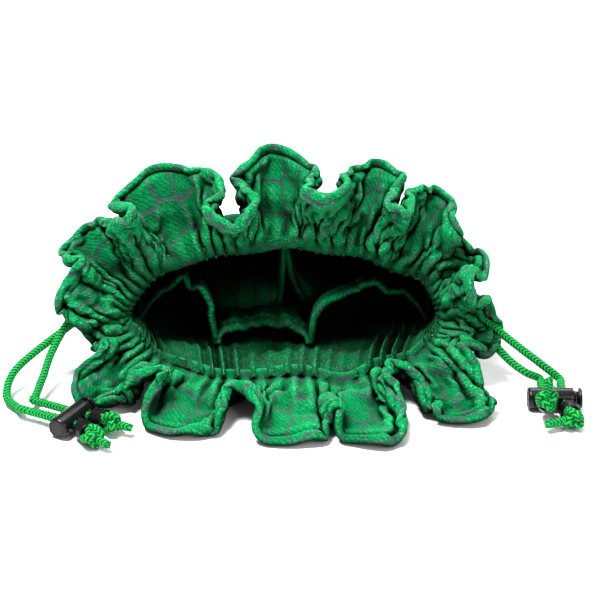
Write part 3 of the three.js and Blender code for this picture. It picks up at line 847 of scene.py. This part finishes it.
def ruffle():
    """The ruffle, shaped by its lobes and gathers and then settled as cloth, every other column of it."""
    middle, length = ruffle_middle()
    start = resample_rows(middle, FROM_HEM, SETTLE_ROWS)[:, ::2]
    settled = drape(start, np.where(SETTLE_ROWS > HELD_FROM, 1.0, 0.55))
    shift = resample_rows(settled - start, SETTLE_ROWS, np.clip(FROM_HEM, 0, COLLAR_LENGTH))
    halfway = 0.5 * (shift + np.roll(shift, -1, 1))
    shift = np.stack([shift, halfway], 2).reshape(middle.shape)
    middle = middle + shift * (FROM_HEM < COLLAR_LENGTH)[:, None, None]
    normal = surface_normals(middle)
    for _ in range(2):
        normal = 0.5 * normal + 0.25 * (np.roll(normal, 1, 1) + np.roll(normal, -1, 1))
    swell = 3.4 * smooth(FROM_HEM, 38, 43.5) - 4.2 * smooth(FROM_HEM, 44, 47.5)
    obj = cloth_piece("ruffle", middle, unit(normal), FROM_HEM, -swell, True, length, 60)
    return belongs(obj, "bag", "collar_front", "collar_back")


# ---- pockets ----

POCKET_COLUMNS = 64
POCKET_DEPTH = 36
# the pockets' rows, as distances from the hem
POCKET_ROWS = np.array(
    [36, 33, 30, 27, 24, 21, 18, 15, 12.5, 10.5, 8.8, 7.4,
     6.4, 5.6, 4.8, 4.1, 3.6, 3.1, 2.5, 1.8, 1.1, 0.5, 0.0]
)


def pocket(n, start, end, bulge, skew):
    """One inner pocket between two seams: sewn at its sides and bottom, slack and bulging inwards at its hem.

    A skew above 1 puts the fullest part nearer the end seam.
    """
    rows = 1 - POCKET_ROWS / POCKET_DEPTH
    u = np.linspace(0, 1, POCKET_COLUMNS)[None, :]
    v = rows[:, None]
    phi = np.radians(start + 0.4 + (end - start - 0.8) * u)
    arch = np.sin(np.pi * u**skew) ** 0.45
    sag = 0.05 * arch * smooth(v, 0.2, 1)
    t = POCKET_BOTTOM + (POCKET_TOP - POCKET_BOTTOM) * v - sag
    fullness = arch * smooth(v, -0.1, 1.0)
    slack = 1.4 * wander(u * 6 + 1.2 * v, 60 + n, 4, 1) + 0.6 * wander(u * 6 - 2 * v, 70 + n, 5, 4)
    slack = slack * np.sin(np.pi * u) * smooth(v, 0, 0.4)
    offset = -(4.6 + bulge * fullness + slack)
    t, phi = np.broadcast_arrays(t, phi)
    middle = wall_middle(t, phi) + wall_out(t, phi) * offset[..., None]
    turn = np.gradient(middle, axis=1)
    normal = -unit(np.cross(turn, np.gradient(middle, axis=0)))
    width = float(np.linalg.norm(np.diff(middle[-1], axis=0), axis=1).sum())
    from_hem = (1 - rows) * POCKET_DEPTH
    thin = np.full(len(rows), 0.15)
    piece = cloth_piece(f"pocket_cloth_{n}", middle, normal, from_hem, thin, False, width, 60 * n)
    return belongs(piece, "bag", f"pocket_{n}")


# ---- walls and base ----

WALL_ROWS, WALL_COLUMNS = 46, 760


def walls():
    """The outer cloth and the lining, full over the drawcord channel and drawn in at its stitches."""
    t = np.linspace(0.0, 1.0, WALL_ROWS)[:, None]
    phi = (np.arange(WALL_COLUMNS) / WALL_COLUMNS * 2 * np.pi)[None, :]
    t, phi = np.broadcast_arrays(t, phi)
    channel = 2.1 * smooth(t, CHANNEL_FROM, 0.82) - 2.3 * smooth(t, 0.965, 1.0)
    stitched = 0.8 * (ridge_at(t, 0.80, 0.012) + ridge_at(t, 0.965, 0.012))
    seam = 1.3 * ridge_at(np.sin(phi), 0.0, 0.02) * (1 - 0.5 * smooth(t, 0.7, 1))
    around = 2 * np.pi * HALF_WIDTH * 0.72
    outer = rest_on_table(wall_surface(t, phi, 2.0 + channel - stitched - seam))
    inner = rest_on_table(wall_surface(t, phi, -2.0 - channel + stitched), 1.8)
    outer = thicken(sheet("outer_cloth", outer, PLUSH, around, WALL_LENGTH), CLOTH, -1)
    inner = thicken(sheet("lining_cloth", inner, SHADED_LINING, around, WALL_LENGTH), CLOTH, 1)
    belongs(outer, "bag", "outer_back_panel", "outer_front_panel")
    belongs(inner, "bag", "lining_back_panel", "lining_front_panel")
    return [outer, inner]


def base_sheet(name, offset, material, node):
    """The round base panel, domed and puckered along its seam."""
    columns = 260
    share = np.linspace(0.02, 1.0, 26)[:, None]
    phi = (np.arange(columns) / columns * 2 * np.pi)[None, :]
    share, phi = np.broadcast_arrays(share, phi)
    rim = wall_middle(0.0, phi)
    low, high = wall_middle(0.0, -np.pi / 2)[2], wall_middle(0.0, np.pi / 2)[2]
    middle = np.array([0.0, rim[0, 0, 1], (low + high) / 2])
    points = middle + (rim - middle) * share[..., None]
    wrinkles = 0.9 * wander(phi, 31, 7, 2) * smooth(share, 0.1, 0.8) * (1 - smooth(share, 0.8, 1.0))
    points[..., 1] += offset + BASE_BULGE * (1 - share**2) + wrinkles
    points[..., 1] -= 1.0 * ridge_at(1 - share, 0.0, 0.06) * (0.7 + 0.3 * np.cos(64 * phi))
    disc = sheet(name, rest_on_table(points, 0.3, 1.0), material, 1.0, 1.0)
    cap = bmesh.new()
    cap.from_mesh(disc.data)
    bmesh.ops.holes_fill(cap, edges=[e for e in cap.edges if e.is_boundary][:columns], sides=300)
    cap.to_mesh(disc.data)
    cap.free()
    for corner, print_at in zip(disc.data.loops, disc.data.uv_layers["cloth"].data):
        x, _, z = disc.data.vertices[corner.vertex_index].co
        print_at.uv = (x, z * 1.25)
    return belongs(thicken(disc, CLOTH, 0), "bag", node)


def seam_piping():
    """The rolled seam where the base panel meets the wall."""
    phi = np.arange(300) / 300 * 2 * np.pi
    path = wall_middle(0.0, phi) + np.array([0, 1.2, 0])
    path[:, 2] = np.maximum(path[:, 2], 1.6)
    pucker = lambda angle, run: 0.22 * np.cos(run * 2 * np.pi / 3.4) + 0.1 * np.cos(3 * angle)
    return belongs(tube("base_seam_piping", path, 1.35, 12, PLUSH, closed=True, relief=pucker), "bag")


# ---- cords, knots, locks and beads ----

CORD_R = 1.6
# where each cord runs, as a share of the wall from base to neck, and the side seam where it leaves
CORD_TRACK = {"left": 0.87, "right": 0.945}
SEAM_ANGLE = {"left": math.pi, "right": 0.0}
EXIT_PATH = ((11, 0), (6, 1.2), (3.6, 4), (2.8, 7))  # degrees from the side seam, distance outside the wall
BARREL_R = 4.2
BARREL_LENGTH = 17.5
BARREL_WALL = 1.1
BARREL_DEPTH = 15.9  # the bore behind the plunger
CORD_HOLE_R = 1.95
PLUNGER_R = 2.9
PLUNGER_TRAVEL = 1.6
PLUNGER_HEAD = 1.3
SPRING_R = 2.1
SPRING_WIRE_R = 0.25
SPRING_TURNS = 2
CORD_SHIFT = 1.6  # the cord holes' middle, from the barrel's middle towards the plunger's head
CORD_PITCH = 7.6
BEND_AT = BARREL_R + 0.5  # the cord ends spread out from here
BEAD_FROM = 1.4
BEAD_LENGTH = 6.8
BEAD_R = 4.1
KNOT_FROM = BEAD_FROM + BEAD_LENGTH - 1.2
KNOT_LENGTH = 7.7
KNOT_MIDDLE = KNOT_FROM + 0.5 * KNOT_LENGTH
KNOT_LOW = 1.9  # a knot's cord stays this high above the table

# straight cord behind the lock; yaw and pitch of the two cord ends; yaw, pitch and length of their stubs from
# the knots' middles; way points of the tails from bag to lock
CORDS = {
    "left": {
        "straight": 17,
        "ends": ((-26, 0), (-6, 4)),
        "stubs": ((22, -9, 7), (17, -12, 7)),
        "tails": (
            ((-89, -22, 17), (-104, -36, 9), (-106.5, -47, 3.4), (-101, -55, 2.4)),
            ((-83, -20, 24), (-90, -30, 15), (-93, -41, 8.5), (-95, -49, 4.6)),
        ),
    },
    "right": {
        "straight": 12,
        "ends": ((-6, 38), (6, 0)),
        "stubs": ((0, 45, 9), (-81, -6, 10)),
        "tails": (((85.5, -31, 12.5), (93, -36, 8)), ((88, -27, 17), (98.5, -32.5, 10.5))),
    },
}


def braid(angle, run):
    """Relief of a round braid: slanted strands that meet in chevrons, with grooves between their columns."""
    across = np.abs(((angle * BRAID_COLUMNS / (2 * np.pi)) % 2) - 1)
    strands = np.cos(2 * np.pi * (run / BRAID_PITCH - BRAID_SLANT * across))
    return 0.12 * strands - 0.16 * ridge_at(across, 0.0, 0.16) - 0.1 * ridge_at(1 - across, 0.0, 0.14)


def cord(name, path, step=0.3, sides=20):
    fine, length = spline(path, 400)
    fine, _ = spline(fine[::4], max(8, int(length / step)))
    return tube(name, fine, CORD_R, sides, CORD, relief=braid)


def yaw_pitch(yaw, pitch):
    return Matrix.Rotation(math.radians(yaw), 4, "Z") @ Matrix.Rotation(math.radians(pitch), 4, "X")


def lock_matrix(side):
    """Local frame of a lock: +X along the barrel towards the plunger's head, -Y the cord ends' way."""
    low, high = box_mm(f"lock_barrel_{side}")
    press = next(j for j in frame["record"]["behaviour"]["joints"] if j["name"] == f"plunger_press_{side}")
    x_axis = -Vector(press["axis"]).normalized()
    y_axis = Vector((0, 0, 1)).cross(x_axis)
    turn = Matrix((x_axis, y_axis, Vector((0, 0, 1)))).transposed().to_4x4()
    return Matrix.Translation(Vector((low + high) / 2)) @ turn


def cord_x(k):
    return CORD_SHIFT + (-1 if k == 0 else 1) * CORD_PITCH / 2


def end_matrix(side, k):
    """Local frame of a cord end beyond the lock: +Y along it."""
    yaw, pitch = CORDS[side]["ends"][k]
    return lock_matrix(side) @ Matrix.Translation((cord_x(k), -BEND_AT, 0)) @ yaw_pitch(180 + yaw, pitch)


def moved(points, matrix):
    m = np.array(matrix)
    return np.asarray(points, float) @ m[:3, :3].T + m[:3, 3]


def frayed_tip(name, tip, way, seed):
    """Loose fibres at the heat-sealed end of a cord."""
    r = np.random.default_rng(seed)
    side = unit(np.cross(way, [0.3, 0.5, 0.8]))
    other = np.cross(way, side)
    fibres = []
    for n in range(9):
        turn = r.uniform(0, 2 * np.pi)
        outward = side * math.cos(turn) + other * math.sin(turn)
        root = tip + outward * CORD_R * r.uniform(0.3, 0.85)
        far = root + way * r.uniform(0.6, 1.0) + outward * 0.3
        points = np.array([root - way, root + way * 0.5 + outward * 0.1, far])
        points[:, 2] = np.maximum(points[:, 2], 0.3)
        fibres.append(tube(f"{name}_{n}", spline(points, 6)[0], r.uniform(0.35, 0.55), 6, CORD))
    return fibres


def knot_path():
    """A small overhand knot about +Y, entered and left along the axis."""
    t = np.linspace(0, 2 * np.pi, 120, endpoint=False)
    x, z = np.sin(t) + 2 * np.sin(2 * t), np.cos(t) - 2 * np.cos(2 * t)
    return np.stack([x * 1.02, -np.sin(3 * t) * 2.0, z * 1.02], -1)


def cord_end(side, k):
    """The cord from behind the lock, through it and its bead to the knot and the frayed stub."""
    name = f"cord_end_{side}_{k + 1}"
    end = end_matrix(side, k)
    straight = CORDS[side]["straight"]
    into = [(cord_x(k), straight * f - BEND_AT * (1 - f), 0) for f in (1.0, 0.75, 0.5, 0.3, 0.12)]
    onward = [(0, d, 0) for d in (2.0, 4.0, 6.0, KNOT_FROM, KNOT_FROM + 3)]
    pieces = [cord(name + "_run", np.vstack([moved(into, lock_matrix(side)), moved(onward, end)]))]
    knot = moved(knot_path() + [0, KNOT_MIDDLE, 0], end @ Matrix.Rotation(0.9 * k + 0.4, 4, "Y"))
    knot[:, 2] = np.maximum(knot[:, 2], KNOT_LOW)
    pieces.append(tube(name + "_knot", knot, CORD_R * 0.98, 20, CORD, closed=True, relief=braid))
    yaw, pitch, length = CORDS[side]["stubs"][k]
    heart = end @ Matrix.Translation((0, KNOT_MIDDLE, 0)) @ yaw_pitch(yaw, pitch)
    stub = moved([(0, length * share, 0) for share in (0, 0.35, 0.7, 1.0)], heart)
    pieces.append(cord(name + "_stub", stub))
    pieces += frayed_tip(name + "_fibre", stub[-1], unit(stub[-1] - stub[-2]), 80 + k + (side == "left") * 2)
    return belongs(join(f"braided_{name}", pieces), f"cord_end_{side}", name)


def cord_exit(side, turn):
    """Where a cord leaves the wall: its last inside point, the way out and the first point outside."""
    track = CORD_TRACK[side]
    points = []
    for degrees, away in EXIT_PATH:
        angle = SEAM_ANGLE[side] + math.radians(turn * degrees)
        points.append(wall_middle(track, angle) + wall_out(track, angle) * away)
    return np.array(points)


def drawcord(side):
    """The cord inside the channel, round the whole gathered neck and out at its own side."""
    inside = SEAM_ANGLE[side] + np.radians(np.arange(18, 343, 6))
    track = CORD_TRACK[side]
    strays = neck_wander(inside) * gathered(track) + 1.0
    ring = wall_middle(track, inside) + wall_out(track, inside) * strays[:, None]
    ring[:, 2] = np.maximum(ring[:, 2], CORD_R + CLOTH + 0.3)
    path = np.vstack([cord_exit(side, 1)[::-1], ring, cord_exit(side, -1)])
    return belongs(cord(f"braided_drawcord_{side}", path, 0.6, 16), "bag", f"drawcord_{side}")


def cord_tail(side, k):
    """The cord between bag and lock."""
    turn = 1 if (side == "left") == (k == 0) else -1
    out = cord_exit(side, turn)[-2:]
    way = unit(out[1] - out[0])
    straight = CORDS[side]["straight"]
    behind = moved([(cord_x(k), straight + 4, 0), (cord_x(k), straight - 0.5, 0)], lock_matrix(side))
    path = np.vstack([out[1] - way * 0.6, out[1] + way * 2.5, CORDS[side]["tails"][k], behind])
    obj = cord(f"braided_tail_{side}_{k + 1}", path)
    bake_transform(obj)
    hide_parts(f"cord_tail_{side}_{k + 1}")


def barrel(side, along_x):
    """A cord lock's barrel: closed at one end, bored for the plunger and crossed by two cord holes."""
    half, r = BARREL_LENGTH / 2, BARREL_R
    bore, bottom = r - BARREL_WALL, half - BARREL_DEPTH
    profile = [(0, -half + 0.25), (r - 1.25, -half + 0.25), (bore, -half), (r - 0.5, -half), (r, -half + 0.7),
               (r, half - 0.9), (r - 0.15, half - 0.25), (r - 0.5, half), (bore, half), (bore, bottom),
               (0, bottom)]
    body = turned(f"barrel_{side}", rounded(profile, 0.4), BLACK, along_x)
    for k in (0, 1):
        at = lock_matrix(side) @ Matrix.Translation((cord_x(k), 0, 0))
        hole = [(0, -9), (CORD_HOLE_R, -9), (CORD_HOLE_R, 9), (0, 9)]
        cut_away(body, turned("hole", hole, BLACK, at, 40))
    face = r - 1.3
    inlay = [(0, -half + 0.1), (face, -half + 0.1), (face, -half + 0.5), (0, -half + 0.5)]
    disc = turned(f"barrel_end_{side}", rounded(inlay, 0.1), BLACK_MATT, along_x)
    return belongs(join(f"lock_body_{side}", [body, disc]), f"lock_{side}", f"lock_barrel_{side}")


def plunger(side, along_x, slot_from, tip):
    """A plunger with a domed head and a slot for the two cords."""
    r, head = BARREL_R, BARREL_LENGTH / 2 + PLUNGER_TRAVEL + 0.2
    top = head + PLUNGER_HEAD
    stem = [(0, tip), (PLUNGER_R, tip), (PLUNGER_R, head - 0.9), (PLUNGER_R * 0.85, head), (r - 0.25, head),
            (r - 0.1, top - 0.3), (r - 0.5, top), (0, top + 0.15)]
    body = turned(f"plunger_{side}_1", rounded(stem, 0.25), BLACK, along_x)
    slot_to = cord_x(1) + CORD_HOLE_R + PLUNGER_TRAVEL
    bpy.ops.mesh.primitive_cube_add(size=1)
    slot = bpy.context.object
    slot.data.transform(Matrix.Diagonal(((slot_to - slot_from) * MM, 16 * MM, 2 * CORD_HOLE_R * MM, 1)))
    cut_away(body, place(slot, lock_matrix(side) @ Matrix.Translation(((slot_from + slot_to) / 2, 0, 0))))
    return belongs(body, f"plunger_{side}", f"lock_plunger_{side}")


def lock_spring(side, seat, tip):
    """The spring from its seat to the plunger's tip."""
    turn = np.linspace(0, SPRING_TURNS * 2 * np.pi, 61)
    x = np.linspace(seat, tip, 61)
    coil = np.stack([x, SPRING_R * np.cos(turn), SPRING_R * np.sin(turn)], -1)
    lock_frame = lock_matrix(side)
    spring = tube(f"spring_coil_{side}", moved(coil, lock_frame), SPRING_WIRE_R, 8, STEEL)
    belongs(spring, f"lock_{side}", f"lock_spring_{side}")
    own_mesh(spring)


def lock(side):
    """A spring cord lock: barrel, plunger and spring."""
    along_x = lock_matrix(side) @ Matrix.Rotation(-math.pi / 2, 4, "Z")
    slot_from = cord_x(0) - CORD_HOLE_R
    tip = slot_from - 0.7
    barrel(side, along_x)
    plunger(side, along_x, slot_from, tip)
    lock_spring(side, 1.6 - BARREL_LENGTH / 2, tip - 0.4)


def bead(side, k):
    """A bell bead: a small dome towards the lock that widens to an open mouth round the knot."""
    a, b, r = BEAD_FROM, BEAD_FROM + BEAD_LENGTH, BEAD_R
    outline = [(1.9, a + 0.1), (2.2, a), (2.9, a + 0.35), (3.5, a + 1.1), (3.85, a + 2.3), (3.95, a + 3.6),
               (r - 0.05, b - 0.8), (r, b - 0.3), (r - 0.3, b), (r - 0.75, b - 0.05), (2.9, b - 2.0),
               (1.95, b - 3.4), (1.9, a + 0.1)]
    bell = turned(f"bell_{side}_{k + 1}", rounded(outline, 0.5), BLACK, end_matrix(side, k))
    return belongs(bell, f"cord_end_{side}", f"bell_bead_{side}_{k + 1}")


# ---- the floor, lights and camera ----


def floor():
    n = Nodes("studio_floor")
    grain = n.noise(n.add("TexCoord").outputs["Object"], 40.0, 2.0)
    tone = n.tint((0.93, 0.93, 0.93, 1), (0.9, 0.9, 0.91), grain, 0.3)
    level_square("studio_floor", 6000, n.surface(tone, 0.6))


def softbox(name, at, size, power):
    light = bpy.data.objects.new(name, bpy.data.lights.new(name, "AREA"))
    light.data.energy, light.data.size = power, size
    light.location = at
    aim = Vector((0, -0.01, 0.03)) - light.location
    light.rotation_euler = aim.to_track_quat("-Z", "Y").to_euler()
    bpy.context.scene.collection.objects.link(light)


def studio():
    floor()
    softbox("key", (-0.3, -0.15, 1.2), 0.4, 38)
    softbox("fill", (0.6, -0.9, 0.7), 0.6, 6)
    softbox("back", (0.3, 0.8, 0.9), 0.7, 10)
    world = bpy.data.worlds.new("studio")
    world.use_nodes = True
    background = world.node_tree.nodes["Background"].inputs
    background["Color"].default_value = (1, 1, 1, 1)
    background["Strength"].default_value = 0.35
    bpy.context.scene.world = world
    bpy.context.scene.view_settings.view_transform = "Standard"


def camera():
    data = bpy.data.cameras.new("camera")
    data.sensor_width = 36
    data.lens_unit = "FOV"
    data.angle = math.radians(CAMERA_ANGLE)
    obj = bpy.data.objects.new("camera", data)
    bpy.context.scene.collection.objects.link(obj)
    lift = math.radians(CAMERA_LIFT)
    target = Vector(CAMERA_TARGET)
    obj.location = target + CAMERA_DISTANCE * Vector((0, -math.cos(lift), math.sin(lift)))
    obj.rotation_euler = (target - obj.location).to_track_quat("-Z", "Y").to_euler()
    bpy.context.scene.camera = obj


# ---- assembly ----

soft = walls()
soft.append(base_sheet("base_cloth", 4.4, PLUSH, "base_panel"))
soft.append(base_sheet("base_lining_cloth", 1.4, SHADED_LINING, "base_lining"))
soft.append(seam_piping())
soft.append(ruffle())
for n, (start, bulge, skew) in enumerate(POCKETS):
    end = POCKETS[n + 1][0] if n + 1 < len(POCKETS) else POCKETS[0][0] + 360
    soft.append(pocket(n + 1, start, end, bulge, skew))
for side in SIDES:
    soft.append(drawcord(side))
    lock(side)
    for k in (0, 1):
        cord_end(side, k)
        cord_tail(side, k)
        bead(side, k)
for obj in soft:
    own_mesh(obj)
studio()
camera()
